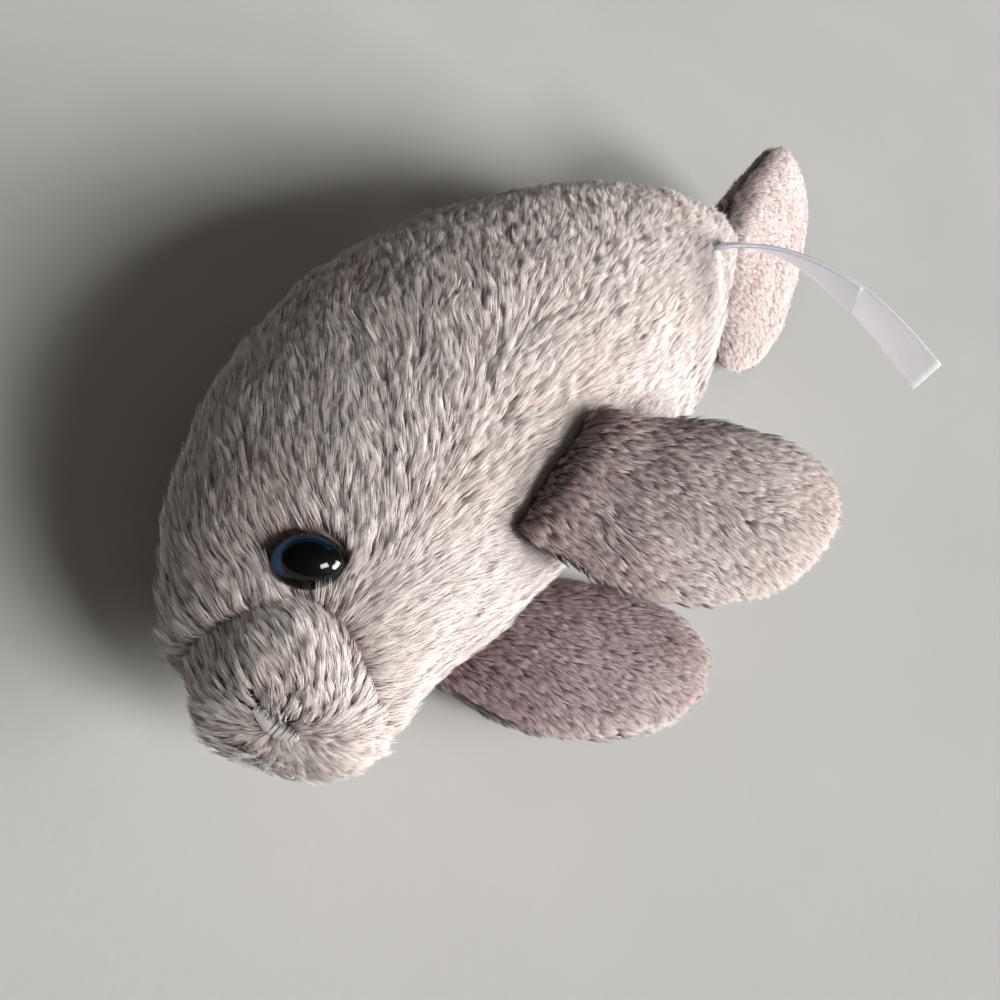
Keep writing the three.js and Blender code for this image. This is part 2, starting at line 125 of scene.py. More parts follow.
def new_material(name, **values):
    """An empty material with a Principled shader whose sockets have these constant values."""
    material = bpy.data.materials.new(name)
    material.use_nodes = True
    tree = material.node_tree
    tree.nodes.clear()
    sockets = {key.replace("_", " "): value for key, value in values.items()}
    shader = add(tree, "ShaderNodeBsdfPrincipled", sockets)
    output = add(tree, "ShaderNodeOutputMaterial")
    tree.links.new(shader.outputs[0], output.inputs["Surface"])
    return material, tree, shader


def ramp(tree, factor, stops):
    """A colour ramp of (place, hex colour) stops."""
    node = add(tree, "ShaderNodeValToRGB", {"Fac": factor})
    elements = node.color_ramp.elements
    while len(elements) < len(stops):
        elements.new(0.5)
    for element, (place, colour) in zip(elements, stops):
        element.position = place
        element.color = linear(colour)
    return node.outputs["Color"]


def polyester_pile(name, root, middle, tip, warm):
    """Dyed polyester fibre: fine strands, darker along the root and pale at the tip, partly their own
    tone and partly painted shade deep in the pile and painted light on the tips.
    A fibre is lit alike on both of its sides, so the normal always points out of the pile.
    Attribute "pile" holds the share of the way from root to tip, the tuft's tint, the strand's own and
    how far its tip is painted pale, which is painted light where light catches the tips."""
    material, tree, shader = new_material(name, Roughness=0.62, Sheen_Weight=0.25, Sheen_Roughness=0.5)
    shader.inputs["Specular IOR Level"].default_value = 0.25
    pile = add(tree, "ShaderNodeAttribute", attribute_name="pile")
    parts = add(tree, "ShaderNodeSeparateColor", {"Color": pile.outputs["Color"]})
    # Root to tip: partly the fibre's tone, partly painted shade deep in the pile and painted light on the
    # tips
    dyed = ramp(tree, parts.outputs["Red"], [(0.0, root), (0.38, middle), (0.8, tip)])
    # Painted light: the tips turn pale by the share that the attribute's fourth value gives
    worn = add(tree, "ShaderNodeMath", {0: pile.outputs["Alpha"], 1: parts.outputs["Red"]},
               operation="MULTIPLY")
    along = add(tree, "ShaderNodeMix", {"Factor": worn.outputs[0], 6: dyed, 7: linear(worn_pale)},
                data_type="RGBA").outputs[2]
    # Tufts differ a little in depth, and dye and wear differ over some centimetres
    tuft = add(tree, "ShaderNodeMapRange", {"Value": parts.outputs["Green"], "To Min": 0.9, "To Max": 1.08})
    strand = add(tree, "ShaderNodeMapRange", {"Value": parts.outputs["Blue"], "To Min": 0.92,
                                              "To Max": 1.08})
    depth = add(tree, "ShaderNodeMath", {0: tuft.outputs[0], 1: strand.outputs[0]}, operation="MULTIPLY")
    shaded = add(tree, "ShaderNodeVectorMath", {0: along, 1: depth.outputs[0]}, operation="MULTIPLY")
    place = add(tree, "ShaderNodeTexCoord")
    patches = add(tree, "ShaderNodeTexNoise", {"Vector": place.outputs["Object"], "Scale": 1 / (22 * MM),
                                               "Detail": 2})
    share = add(tree, "ShaderNodeMapRange", {"Value": patches.outputs["Fac"], "From Min": 0.45,
                                             "From Max": 0.7})
    tinted = add(tree, "ShaderNodeMix", {"Factor": share.outputs[0], 6: shaded.outputs[0], 7: linear(warm)},
                 data_type="RGBA", blend_type="SOFT_LIGHT")
    tree.links.new(tinted.outputs[2], shader.inputs["Base Color"])
    facing = add(tree, "ShaderNodeNewGeometry")
    turn = add(tree, "ShaderNodeMapRange", {"Value": facing.outputs["Backfacing"], "To Min": 1.0,
                                            "To Max": -1.0})
    outwards = add(tree, "ShaderNodeVectorMath", {0: facing.outputs["Normal"], "Scale": turn.outputs[0]},
                   operation="SCALE")
    tree.links.new(outwards.outputs[0], shader.inputs["Normal"])
    return material


def knitted_backing(name, colour):
    """Warp-knitted polyester backing: matt, ribbed at about 0.9 mm, seen only deep between the tufts."""
    material, tree, shader = new_material(name, Roughness=0.95)
    place = add(tree, "ShaderNodeTexCoord")
    ribs = add(tree, "ShaderNodeTexWave", {"Vector": place.outputs["Object"], "Scale": 1 / (3.6 * MM),
                                           "Distortion": 1.5})
    # Painted shade: the ramp darkens the grooves between the ribs, where the bump sinks
    shade = ramp(tree, ribs.outputs["Fac"], [(0.0, "#5a4d4f"), (1.0, colour)])
    tree.links.new(shade, shader.inputs["Base Color"])
    bump = add(tree, "ShaderNodeBump", {"Height": ribs.outputs["Fac"], "Distance": 0.2 * MM})
    tree.links.new(bump.outputs[0], shader.inputs["Normal"])
    return material


def clear_acrylic(name):
    """Cast acrylic dome: clear and highly polished, so that only its reflections show over the print."""
    material = bpy.data.materials.new(name)
    material.use_nodes = True
    tree = material.node_tree
    tree.nodes.clear()
    clear = add(tree, "ShaderNodeBsdfTransparent", {"Color": linear("#f4f8fa")})
    gloss = add(tree, "ShaderNodeBsdfGlossy", {"Color": linear("#e0e0e0"), "Roughness": 0.03})
    share = add(tree, "ShaderNodeFresnel", {"IOR": 1.49})
    both = add(tree, "ShaderNodeMixShader", {0: share.outputs[0], 1: clear.outputs[0], 2: gloss.outputs[0]})
    output = add(tree, "ShaderNodeOutputMaterial")
    tree.links.new(both.outputs[0], output.inputs["Surface"])
    return material


def printed_iris_painted_light(name):
    """Iris printed behind the dome: a wide black pupil and a blue ring that darkens outwards and ends
    in black. Its attribute holds the distance from the middle over the eye's radius, and the place
    across the ring for painted light: bright on the side where light falls in through the dome, and
    black with painted shade on the other side."""
    material, tree, shader = new_material(name, Roughness=0.4)
    shader.inputs["Specular IOR Level"].default_value = 0.05
    ink_and_light = add(tree, "ShaderNodeAttribute", attribute_name="print_and_light")
    parts = add(tree, "ShaderNodeSeparateColor", {"Color": ink_and_light.outputs["Color"]})
    ring = ramp(tree, parts.outputs["Red"], [
        (0.0, "#020204"), (0.695, "#020204"), (0.715, "#3a98e8"),
        (0.82, "#2380d0"), (0.93, "#1a68b4"), (0.99, "#124272")])
    # Painted light and shade: the ring is bright on the lit side and black on the other
    lit = ramp(tree, parts.outputs["Green"], [(0.46, "#010203"), (0.68, "#ffffff")])
    shaded = add(tree, "ShaderNodeMix", {"Factor": 1.0, 6: ring, 7: lit}, data_type="RGBA",
                 blend_type="MULTIPLY")
    tree.links.new(shaded.outputs[2], shader.inputs["Base Color"])
    return material


def moulded_plastic(name, colours, roughness, grain):
    """Injection-moulded plastic: even colour with a fine moulded grain, given in mm."""
    material, tree, shader = new_material(name, Roughness=roughness)
    place = add(tree, "ShaderNodeTexCoord")
    grains = add(tree, "ShaderNodeTexNoise", {"Vector": place.outputs["Object"], "Scale": 1 / (grain * MM),
                                              "Detail": 3})
    low, high = colours
    shade = add(tree, "ShaderNodeMix", {"Factor": grains.outputs["Fac"], 6: linear(low), 7: linear(high)},
                data_type="RGBA")
    bump = add(tree, "ShaderNodeBump", {"Height": grains.outputs["Fac"], "Strength": 0.2,
                                        "Distance": 0.05 * MM})
    tree.links.new(shade.outputs[2], shader.inputs["Base Color"])
    tree.links.new(bump.outputs[0], shader.inputs["Normal"])
    return material


def rayon_thread(name):
    """Silver-grey rayon embroidery thread: two plies, glossy along the thread. Each stitch is painted
    dark at both ends, painted shade where it dives into the cloth, and palest three quarters across,
    a painted highlight.
    """
    material, tree, shader = new_material(name, Roughness=0.3, Metallic=0.7, Sheen_Weight=0.2)
    pile = add(tree, "ShaderNodeAttribute", attribute_name="pile")
    parts = add(tree, "ShaderNodeSeparateColor", {"Color": pile.outputs["Color"]})
    # Painted shade at both ends of each stitch, and a painted highlight three quarters across
    shade = ramp(tree, parts.outputs["Red"], [(0.0, "#7f7a78"), (0.3, "#dedbd9"), (0.75, "#f6f4f2"),
                                              (1.0, "#7f7a78")])
    place = add(tree, "ShaderNodeTexCoord")
    # Ply lines, drawn at 0.25 mm so that they show
    plies = add(tree, "ShaderNodeTexWave", {"Vector": place.outputs["Object"], "Scale": 1 / (1.0 * MM),
                                            "Distortion": 3})
    bump = add(tree, "ShaderNodeBump", {"Height": plies.outputs["Fac"], "Strength": 0.4,
                                        "Distance": 0.08 * MM})
    tree.links.new(shade, shader.inputs["Base Color"])
    tree.links.new(bump.outputs[0], shader.inputs["Normal"])
    return material


def satin_ribbon(name):
    """Woven polyester satin: white, smooth warp floats along the ribbon that give it a soft gloss.
    A faint blue-white glow is painted light, which brightens the ribbon where the lamps leave it in shade."""
    material, tree, shader = new_material(name, Roughness=0.42, Subsurface_Weight=0.8,
                                          Emission_Color=linear("#e4e8ff"), Emission_Strength=0.14,
                                          Subsurface_Radius=(1.0, 1.0, 1.0), Subsurface_Scale=0.5 * MM)
    place = add(tree, "ShaderNodeUVMap", uv_map="ribbon")
    # Warp threads, drawn at 0.2 mm, across an 8 mm ribbon
    warp = add(tree, "ShaderNodeTexWave", {"Vector": place.outputs[0], "Scale": 6.0, "Distortion": 0.4,
                                           "Detail": 1})
    shade = ramp(tree, warp.outputs["Fac"], [(0.0, "#efeeef"), (1.0, "#ffffff")])
    bump = add(tree, "ShaderNodeBump", {"Height": warp.outputs["Fac"], "Strength": 0.25,
                                        "Distance": 0.05 * MM})
    tree.links.new(shade, shader.inputs["Base Color"])
    tree.links.new(bump.outputs[0], shader.inputs["Normal"])
    return material


def painted_table(name):
    """Board in matt lacquer: pale grey, faintly mottled, with the fine grain of a roller."""
    material, tree, shader = new_material(name, Roughness=0.9)
    shader.inputs["Specular IOR Level"].default_value = 0.0
    place = add(tree, "ShaderNodeTexCoord")
    mottle = add(tree, "ShaderNodeTexNoise", {"Vector": place.outputs["Object"], "Scale": 1 / (60 * MM),
                                              "Detail": 5})
    shade = ramp(tree, mottle.outputs["Fac"], [(0.35, "#bcbcbb"), (0.65, "#c1c1c0")])
    grain = add(tree, "ShaderNodeTexNoise", {"Vector": place.outputs["Object"], "Scale": 1 / (2.5 * MM),
                                             "Detail": 3})
    bump = add(tree, "ShaderNodeBump", {"Height": grain.outputs["Fac"], "Strength": 0.12,
                                        "Distance": 0.3 * MM})
    tree.links.new(shade, shader.inputs["Base Color"])
    tree.links.new(bump.outputs[0], shader.inputs["Normal"])
    return material


body_pile = polyester_pile("polyester pile, grey mauve", "#9b8986", "#cabbb8", "#f8f0ec", "#bcaba8")
flipper_pile = polyester_pile("polyester pile, dusky mauve", "#5a454a", "#9a8588", "#eadeda", "#948083")
inner_pile = polyester_pile("polyester pile, plum", "#412933", "#785b65", "#cfb9bc", "#765d66")
# Painted shade: the tail's pile is a darker copy of the body's, to darken the tail where the lamps light it
# strongly
tail_pile_painted_shade = polyester_pile("polyester pile, mauve, darkened as painted shade", "#645055", "#968185", "#dccfcc", "#9b878b")
backing = knitted_backing("warp-knitted backing", "#8d7f81")
dome_clear = clear_acrylic("cast acrylic")
iris_print_and_light = printed_iris_painted_light("printed iris with painted light")
nylon_black = moulded_plastic("black nylon", ("#0b0b0e", "#131318"), 0.3, 0.6)
nylon_white = moulded_plastic("white polypropylene", ("#e4e3de", "#f0efeb"), 0.5, 0.8)
silver_thread = rayon_thread("rayon embroidery thread")
ribbon_satin = satin_ribbon("polyester satin")
table_paint = painted_table("matt lacquer")


# Meshes from the frame

def merged_copy(node):
    """A bmesh of a CAD node, with the loose triangles' shared vertices merged."""
    mesh = bmesh.new()
    mesh.from_mesh(frame["nodes"][node].data)
    bmesh.ops.remove_doubles(mesh, verts=mesh.verts, dist=0.01 * MM)
    return mesh


def corners_of(mesh, faces):
    """Places and smoothed normals of these triangles' corners."""
    normals = {v: Vector() for f in faces for v in f.verts}
    for f in faces:
        for v in f.verts:
            normals[v] += f.normal * f.calc_area()
    place = np.array([[v.co for v in f.verts] for f in faces], float)
    normal = np.array([[normals[v].normalized() for v in f.verts] for f in faces], float)
    return place, normal


def unit(v):
    return v / np.maximum(np.linalg.norm(v, axis=-1, keepdims=True), 1e-12)


def share_of(value, whole):
    """How much of the whole a value is, kept from 0 to 1."""
    return np.clip(value / whole, 0, 1)


def scattered(place, normal, per_mm2):
    """Points spread at random over triangles, with the smoothed normal at each."""
    area = np.linalg.norm(np.cross(place[:, 1] - place[:, 0], place[:, 2] - place[:, 0]), axis=1) / 2
    count = int(area.sum() / MM ** 2 * per_mm2)
    face = rng.choice(len(area), count, p=area / area.sum())
    u, v = rng.random(count), rng.random(count)
    over = u + v > 1
    u[over], v[over] = 1 - u[over], 1 - v[over]
    share = np.stack([1 - u - v, u, v], axis=1)[:, :, None]
    return (place[face] * share).sum(1), unit((normal[face] * share).sum(1))


def turned_by(v, axis, angle):
    """Vectors turned about unit axes by angles."""
    c, s = np.cos(angle)[:, None], np.sin(angle)[:, None]
    return v * c + np.cross(axis, v) * s + axis * (v * axis).sum(1, keepdims=True) * (1 - c)


def strand_path(root, normal, lay, length, lift):
    """Four points of each strand, from its root along the nap, and bending down onto it."""
    points = [root - normal * root_depth * MM]
    for angle in bend_angles:
        a = np.radians(angle) * lift
        step = lay * np.cos(a)[:, None] + normal * np.sin(a)[:, None]
        points.append(points[-1] + step * (length / len(bend_angles))[:, None])
    return np.stack(points, axis=1)


def pile_strands(place, normal, nap, length, lift=1.0, density=1.0, fine=1.0, keep=None, loose=None,
                 raised=None, worn=None):
    """Pile over triangles: strands gathered into tufts that lie along nap(points, normals).
    lift, density and fine are how many times steeper the pile lies and how many times more strands and
    tufts it has. keep(points) says which roots grow, loose(points) how much the pile there stands up in
    tufts, from 0 to 1, and raised(points) how many times steeper it stands, which makes it a little longer
    too. The last argument, a function of points and normals, gives how far the tips are painted pale
    as painted light, from 0 to 1.
    Returns vertices, quads, triangles, the values of attribute "pile" and the normals."""
    tuft_at, tuft_normal = scattered(place, normal, tufts_per_mm2 * fine)
    root, root_normal = scattered(place, normal, strands_per_mm2 * density)
    if keep is not None:
        near = keep(root)
        root, root_normal = root[near], root_normal[near]
    tufts, count = len(tuft_at), len(root)
    tree = KDTree(tufts)
    for i, at in enumerate(tuft_at):
        tree.insert(at, i)
    tree.balance()
    own = np.array([tree.find(at)[1] for at in root])

    def laid(at, around):
        flat = nap(at, around)
        return flat - around * (flat * around).sum(1, keepdims=True)

    ruffled = np.array([noise.noise_vector(at / (ruffle * MM)) for at in map(Vector, tuft_at)])
    sway = rng.normal(0, 0.12, tufts) + ruffle_sway * ruffled[:, 0]
    tuft_length = length * rng.normal(1, 0.13, tufts) * MM
    tuft_lift = lift * (rng.normal(1, 0.1, tufts) + ruffle_lift * ruffled[:, 1])
    looseness = np.ones(count)
    if loose is not None:
        looseness = loose(root)
        tuft_loose = loose(tuft_at)
        sway = sway * tuft_loose
        tuft_lift = tuft_lift * (0.45 + 0.55 * tuft_loose)
    if raised is not None:
        steeper = raised(tuft_at)
        tuft_lift = tuft_lift * steeper
        tuft_length = tuft_length * (1 + 0.4 * (steeper - 1))
    tuft_lay = laid(tuft_at, tuft_normal)
    # The pile stands up where its lie turns round
    parting = np.clip(1 - np.linalg.norm(tuft_lay, axis=1) / 0.7, 0, 1)
    tuft_lift = tuft_lift * (1 + 0.3 * parting)
    sway = sway + rng.normal(0, 1.2, tufts) * parting
    tuft_lay = turned_by(unit(tuft_lay), tuft_normal, sway)
    tuft_path = strand_path(tuft_at, tuft_normal, tuft_lay, tuft_length, tuft_lift)
    lay = turned_by(unit(laid(root, root_normal)), root_normal, sway[own] + rng.normal(0, 0.12, count))
    path = strand_path(root, root_normal, lay, tuft_length[own] * rng.normal(1, 0.1, count), tuft_lift[own])
    draw = np.array(gather)[None, :, None] * rng.uniform(0.7, 1.15, count)[:, None, None]
    path += (tuft_path[own] - path) * draw * looseness[:, None, None]
    # Under the toy the table presses the pile flat
    pressed = rng.uniform(*pressed_height, count)[:, None] * MM
    path[:, 1:, 2] = np.maximum(path[:, 1:, 2], pressed)

    bends = len(bend_angles)
    ahead = unit(np.diff(path, axis=1))
    side = unit(np.cross(ahead, root_normal[:, None, :]))
    roll = rng.normal(0, 0.5, count)[:, None, None]
    side = side * np.cos(roll) + np.cross(ahead, side) * np.sin(roll)
    facing = root_normal[:, None, :] - ahead * (ahead * root_normal[:, None, :]).sum(2, keepdims=True)
    apart = (root - tuft_at[own])[:, None, :] * math.sqrt(tufts_per_mm2 * fine) / MM
    facing = unit(unit(facing) + root_normal[:, None, :] * 0.15
                  + apart * roundness * looseness[:, None, None])
    half = strand_half_width / math.sqrt(density) * MM * rng.uniform(0.8, 1.25, count)[:, None, None]
    taper = np.linspace(1.0, 0.85, bends)[None, :, None]
    edge = side * half * taper
    vertices = np.concatenate([path[:, :bends] - edge, path[:, :bends] + edge, path[:, bends:]], axis=1)
    vertices[:, :, 2] = np.maximum(vertices[:, :, 2], 0)
    first = np.arange(count)[:, None] * (2 * bends + 1)
    quads = np.concatenate([first + [k, k + bends, k + bends + 1, k + 1] for k in range(bends - 1)])
    triangles = first + [bends - 1, 2 * bends - 1, 2 * bends]
    values = np.ones((count, 2 * bends + 1, 4))
    values[:, :, 0] = np.array([*range(bends), *range(bends), bends]) / bends
    values[:, :, 1] = rng.random(tufts)[own][:, None]
    values[:, :, 2] = rng.random(count)[:, None]
    # Fourth value: how far the tip is painted pale, as painted light
    values[:, :, 3] = 0 if worn is None else worn(root, root_normal)[:, None]
    facings = np.concatenate([facing, facing, facing[:, -1:]], axis=1)
    return vertices.reshape(-1, 3), quads, triangles, values.reshape(-1, 4), facings.reshape(-1, 3)


def new_piece(name, mesh):
    piece = bpy.data.objects.new(name, mesh)
    bpy.context.scene.collection.objects.link(piece)
    return piece


def mesh_of(name, vertices, faces, slots, values=None):
    """A mesh from arrays of vertices and of faces with the same number of corners each."""
    mesh = bpy.data.meshes.new(name)
    corners = np.concatenate([f.ravel() for f in faces])
    sizes = np.concatenate([np.full(len(f), f.shape[1]) for f in faces])
    starts = np.concatenate([[0], np.cumsum(sizes)[:-1]])
    mesh.vertices.add(len(vertices))
    mesh.vertices.foreach_set("co", vertices.astype(np.float32).ravel())
    mesh.loops.add(len(corners))
    mesh.loops.foreach_set("vertex_index", corners.astype(np.int32))
    mesh.polygons.add(len(sizes))
    mesh.polygons.foreach_set("loop_start", starts.astype(np.int32))
    mesh.polygons.foreach_set("material_index", np.concatenate(
        [np.full(len(f), slot) for f, slot in zip(faces, slots)]).astype(np.int32))
    mesh.update(calc_edges=True)
    mesh.shade_smooth()
    if values is not None:
        attribute = mesh.attributes.new("pile", "FLOAT_COLOR", "POINT")
        attribute.data.foreach_set("color", values.astype(np.float32).ravel())
    return mesh


def plush(name, node, outer, nap, length, pile, **growth):
    """One cloth panel: the CAD panel as its backing, with pile on the faces where outer(face) holds."""
    cloth = merged_copy(node)
    cloth.verts.index_update()
    faces = [f for f in cloth.faces if outer(f)]
    place, normal = corners_of(cloth, faces)
    strands, quads, triangles, values, facings = pile_strands(place, normal, nap, length, **growth)
    skin = np.array([v.co for v in cloth.verts], float)
    skin_faces = np.array([[v.index for v in f.verts] for f in cloth.faces])
    skin_facings = np.array([v.normal for v in cloth.verts], float)
    cloth.free()
    start = len(skin)
    skin_values = np.tile([0.1, 0.5, 0.5, 1.0], (start, 1))
    mesh = mesh_of(name, np.concatenate([skin, strands]), [skin_faces, quads + start, triangles + start],
                   [0, 1, 1], np.concatenate([skin_values, values]))
    mesh.normals_split_custom_set_from_vertices(np.concatenate([skin_facings, facings]).astype(np.float32))
    mesh.materials.append(backing)
    mesh.materials.append(pile)
    piece = new_piece(name, mesh)
    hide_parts(node)
    return piece


# Body

def middle_of(*nodes):
    corners = np.array([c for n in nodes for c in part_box(n)])
    return (corners.min(0) + corners.max(0)) / 2


nose_high = np.array(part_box("muzzle_panel")[1])
joints = {j["name"]: j for j in frame["joints"]}
tail_seam = np.array(joints["tail_root"]["pos_m"])
# Middle of the body from nose to tail seam, in the plane between its two sides
spine_points = np.array([
    [nose_high[0] - 14 * MM, -8 * MM],
    [66 * MM, -17 * MM],
    [25 * MM, -22 * MM],
    [-20 * MM, -18 * MM],
    [tail_seam[0], tail_seam[1]],
])
mid_plane = np.array(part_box("left_side_panel")[0])[2]


def spine_near(points):
    """The nearest place on the spine, and its direction towards the tail."""
    steps = np.linspace(0, len(spine_points) - 1, 81)
    line = np.stack([np.interp(steps, range(len(spine_points)), spine_points[:, i]) for i in (0, 1)], axis=1)
    ahead = unit(np.gradient(line, axis=0))
    gap = np.linalg.norm(points[:, None, :2] - line[None], axis=2)
    near = gap.argmin(1)
    flat = np.full((len(points), 1), mid_plane)
    level = np.zeros((len(points), 1))
    return np.concatenate([line[near], flat], axis=1), np.concatenate([ahead[near], level], axis=1)


def faces_out_of_body(face):
    centre = np.array([face.calc_center_median()])
    at, _ = spine_near(centre)
    return float((unit(centre - at)[0] * np.array(face.normal)).sum()) > 0.3


def body_nap(points, normals):
    """The nap runs to the tail, leaning to the back above a line below the eyes and to the belly under it."""
    x, y = points[:, 0] / MM, points[:, 1] / MM
    head = share_of(x - 10, 60)
    cheek_line = -11 + 7 * head
    up = share_of(cheek_line - y, 12) * (0.5 + 0.6 * head)
    down = share_of(y - cheek_line, 12) * (0.1 + 0.6 * head)
    return np.stack([np.full(len(x), -1.0), down - up, np.zeros(len(x))], axis=1)


# Each nostril's middle, and the way across the tip of the nose from it
nostrils = [(middle_of("left_nostril"), -0.46), (middle_of("right_nostril"), 0.46)]


def muzzle_nap(points, normals):
    """On the muzzle the nap runs to the back, on the chin to the throat, and below a nostril away from it.
    It turns through the way across the chin, so that no bare line shows."""
    side = np.clip((points[:, 2] - mid_plane) / MM / 9 + 1.5, -1, 1)
    up = np.stack([np.full(len(side), -0.16), np.full(len(side), -0.98), 0.14 * side], axis=1)
    throat = np.stack([np.full(len(side), -1.0), np.full(len(side), 0.2), 0.5 * side], axis=1)
    to_throat = share_of(normals[:, 1] - 0.1, 0.7)[:, None]
    sideways = np.array([[0.0, 0.0, 3.4]]) * side[:, None]
    over = up * (1 - to_throat) + throat * to_throat + sideways * to_throat * (1 - to_throat)
    nearer_left = np.clip((points[:, 2] - mid_plane) / MM / 3 + 1.8, 0, 1)[:, None]
    for (nostril_at, inwards), share in zip(nostrils, (nearer_left, 1 - nearer_left)):
        away = points - nostril_at
        below = np.clip(away @ np.array([0.6, 0.65, inwards]) / MM / 5 + 0.55, 0, 1)[:, None]
        over = over + (unit(away) - over) * below * share
    return over


def body_loose(points):
    """The pile stands up in tufts on head and back, and lies smooth on throat, belly and tail end."""
    x, y = points[:, 0] / MM, points[:, 1] / MM
    lower = share_of(y + 11, 16)
    rear = 0.5 * share_of(-x - 20, 40)
    return 1 - 0.75 * np.maximum(lower, rear)


def centre_of(node):
    return np.array([v.co for v in frame["nodes"][node].data.vertices], float).mean(0)


# Each eye's middle, the direction that it faces and its long way, for an oval of these half sizes
eye_half_length, eye_half_height = 5.2 * MM, 4.0 * MM
eyes = {}
for side, sign in [("left", 1), ("right", -1)]:
    lens = centre_of(f"{side}_eye_lens")
    axis = unit(lens - centre_of(f"{side}_eye_washer"))
    long_way = np.array([-0.53, 0.76, 0.38 * sign])
    eyes[side] = (lens, axis, unit(long_way - (long_way @ axis) * axis))


def eye_reach(points):
    """Distance of points from the nearer eye's middle along the cloth, 1 at the eye's rim."""
    reach = np.full(len(points), 9.0)
    for at, axis, long_way in eyes.values():
        away = points - at
        long = away @ long_way / eye_half_length
        high = away @ np.cross(axis, long_way) / eye_half_height
        reach = np.where(away @ axis > -12 * MM, np.minimum(reach, np.hypot(long, high)), reach)
    return reach


def off_the_eyes(points):
    return eye_reach(points) > 1.06


def round_the_eyes(points):
    """The pile stands up against the eyes' rims."""
    return 1 + 0.2 * np.exp(-((eye_reach(points) - 1) / 0.28) ** 2)


muzzle_points = np.array([v.co for v in frame["nodes"]["muzzle_panel"].data.vertices], float)
muzzle_tree = KDTree(len(muzzle_points))
for i, at in enumerate(muzzle_points):
    muzzle_tree.insert(at, i)
muzzle_tree.balance()


def round_the_face(points):
    """The pile stands up against the eyes' rims and against the muzzle, whose pile lies the other way."""
    gap = np.array([muzzle_tree.find(at)[2] for at in points]) / MM
    beside_eye = share_of(eye_reach(points) - 1, 0.8)
    above_throat = share_of(6 - points[:, 1] / MM, 12)
    return round_the_eyes(points) + 0.6 * beside_eye * above_throat * np.exp(-(gap / 3) ** 2)


stitched_points = [np.array([v.co for v in frame["nodes"][f"{side}_nostril"].data.vertices], float)[::7]
                   for side in ("left", "right")]


def off_the_face(points):
    """True where a root stays clear of the eyes, of the nostrils' stitches and of the pit below them."""
    clear = off_the_eyes(points)
    for stitched in stitched_points:
        away = points[:, None] - stitched[None]
        gap = np.linalg.norm(away, axis=2)
        below = away[np.arange(len(points)), gap.argmin(1)] @ np.array([0.6, 0.65, 0.0])
        clear &= gap.min(1) > np.where(below > 0.3 * MM, 2.0, 0.5) * MM
    return clear


for name, node, density in [("left_side_plush", "left_side_panel", 1.0),
                            ("belly_plush", "belly_panel", 1.0),
                            ("right_side_plush", "right_side_panel", table_side_density)]:
    panel = plush(name, node, faces_out_of_body, body_nap, body_length, body_pile,
                  density=density, keep=off_the_eyes, loose=body_loose, raised=round_the_face)
    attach(panel, "body")
    if node == "left_side_panel":
        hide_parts("body_filling")
muzzle = plush("muzzle_plush", "muzzle_panel", faces_out_of_body, muzzle_nap, muzzle_length, body_pile,
               lift=0.9, keep=off_the_face, raised=round_the_eyes)
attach(muzzle, "body")


# Flippers and tail

def joint_frame(name):
    """The hinge's place and axis."""
    joint = joints[name]
    return np.array(joint["pos_m"]), np.array(joint["axis"])


def paddle_plush(joint, panels, filling, length, tufted, painted_light_share):
    """The two panels of a flipper or tail with their piles, whose nap runs out from the hinge at their sewn
    root.
    tufted is how much the pile stands up in tufts, and the next number how far the tips are painted pale, as
    painted light towards the tip and at the rim.
    Pile that the camera doesn't see is sparser and its strands are wider."""
    hinge, axis = joint_frame(joint)
    reach = centre_of(filling) - hinge
    out = unit(reach - (reach @ axis) * axis)
    across = np.cross(axis, out)
    for panel, pile in panels:
        up = across * np.sign((centre_of(panel) - centre_of(filling)) @ across)

        def outer(face):
            return float(np.array(face.normal) @ up) > 0.02

        def nap(points, normals):
            spread = ((points - hinge) @ axis) / (60 * MM)
            return out + axis * spread[:, None]

        # Painted light: the tips are painted pale towards the paddle's tip and at its rim, where light
        # catches them
        def worn(points, normals):
            to_tip = share_of((points - hinge) @ out / np.linalg.norm(reach) - 0.3, 1.2)
            to_rim = share_of(0.9 - normals @ up, 0.6)
            return painted_light_share * np.maximum(0.55 * to_tip, to_rim * (0.4 + 0.6 * to_tip))

        piece = plush(panel.replace("_panel", "_plush"), panel, outer, nap, length, pile, fine=1.25,
                      worn=worn, density=1.0 if up @ camera_back > 0 else turned_away_density,
                      loose=lambda points: np.full(len(points), tufted))
        if panel == panels[0][0]:
            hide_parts(filling)
        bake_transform(piece)


outer_panels = {"left": "upper", "right": "lower"}
for side, outer_panel in outer_panels.items():
    paddle_plush(f"{side}_flipper_root",
                 [(f"{side}_flipper_{panel}_panel", flipper_pile if panel == outer_panel else inner_pile)
                  for panel in ("upper", "lower")],
                 f"{side}_flipper_filling", flipper_length, 0.8, 0.9)
paddle_plush("tail_root", [("tail_upper_panel", tail_pile_painted_shade), ("tail_lower_panel", flipper_pile)],
             "tail_filling", tail_length, 0.5, 0.9)


# Eyes

def turned_profile(profile, steps=48):
    """A solid spun from (radius, height) points in mm, with its axis along Z."""
    mesh = bmesh.new()
    verts = [mesh.verts.new((r * MM, 0, z * MM)) for r, z in profile]
    edges = [mesh.edges.new(pair) for pair in zip(verts, verts[1:])]
    bmesh.ops.spin(mesh, geom=verts + edges, cent=(0, 0, 0), axis=(0, 0, 1), dvec=(0, 0, 0),
                   angle=2 * math.pi, steps=steps, use_merge=True, use_duplicate=False)
    bmesh.ops.remove_doubles(mesh, verts=mesh.verts, dist=0.001 * MM)
    bmesh.ops.recalc_face_normals(mesh, faces=mesh.faces)
    return mesh


def finished(name, mesh, place, *materials):
    bmesh.ops.transform(mesh, matrix=place, verts=mesh.verts)
    data = bpy.data.meshes.new(name)
    mesh.to_mesh(data)
    mesh.free()
    data.shade_smooth()
    for material in materials:
        data.materials.append(material)
    return new_piece(name, data)


